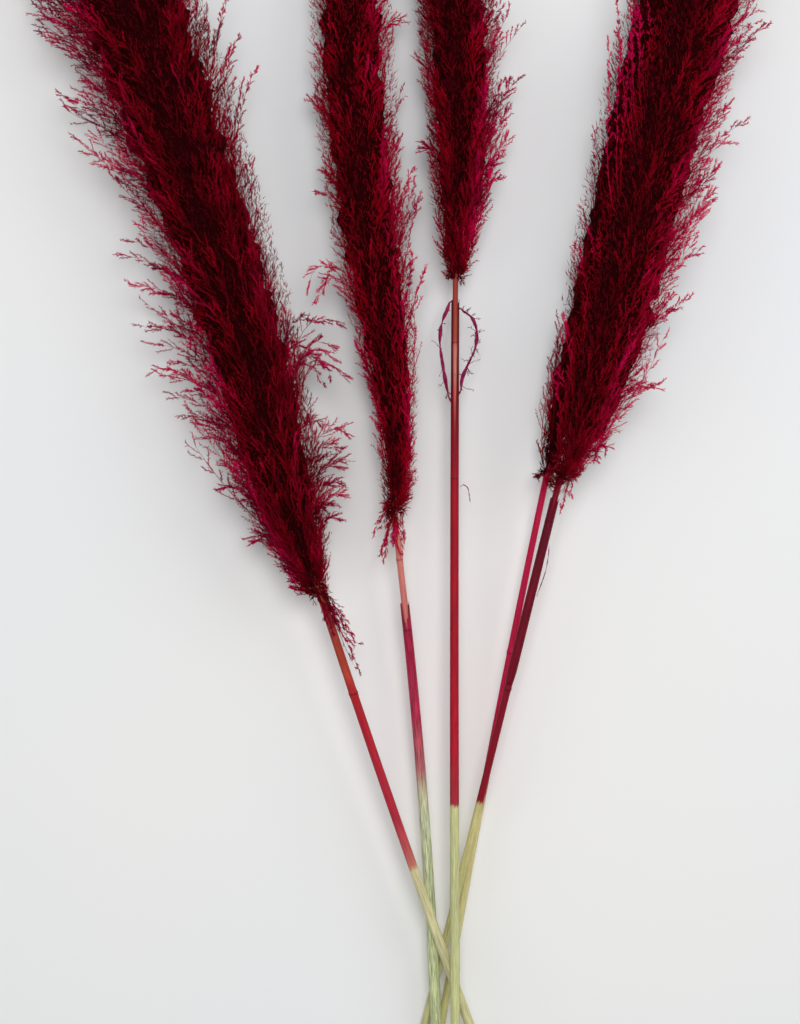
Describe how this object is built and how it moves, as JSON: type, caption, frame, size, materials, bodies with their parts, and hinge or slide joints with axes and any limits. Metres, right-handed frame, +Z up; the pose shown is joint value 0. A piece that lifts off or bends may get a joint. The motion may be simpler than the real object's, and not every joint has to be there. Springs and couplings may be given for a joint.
{
  "type": "bundle of pampas grass",
  "caption": "Loose fan of dyed, dried pampas grass stems lying flat: crimson plumes on bare culms with papery leaf sheaths, dye ending above pale cut ends.",
  "frame": {"origin": "on the surface the bundle lies on, at the middle of its box in plan", "axes": "+Y from the cut ends towards the plume tips, +X to the right seen from above, +Z up off the surface"},
  "size_m": [0.6248, 1.1562, 0.0873],
  "materials": {
    "plume_fluff": "soft matte dyed fluff",
    "dyed_culm": "satin dyed grass stem, pale yellow-green where the dye ends",
    "leaf_sheath": "papery ribbed leaf sheath, dyed, pale at its foot",
    "dried_strip": "matte curled dried leaf"
  },
  "bodies": {
    "root": {"right_rear_stem": "dyed_culm", "right_rear_plume": "plume_fluff", "right_front_stem": "dyed_culm", "right_front_sheath": "leaf_sheath", "right_front_plume": "plume_fluff", "inner_left_stem": "dyed_culm", "inner_left_sheath": "leaf_sheath", "inner_left_plume": "plume_fluff", "left_stem": "dyed_culm", "left_plume": "plume_fluff", "centre_stem": "dyed_culm", "centre_sheath": "leaf_sheath", "centre_plume": "plume_fluff", "centre_curled_strip_left": "dried_strip", "centre_curled_strip_right": "dried_strip", "centre_fibre": "dried_strip", "right_front_fibre": "dried_strip"}
  },
  "joints": []
}
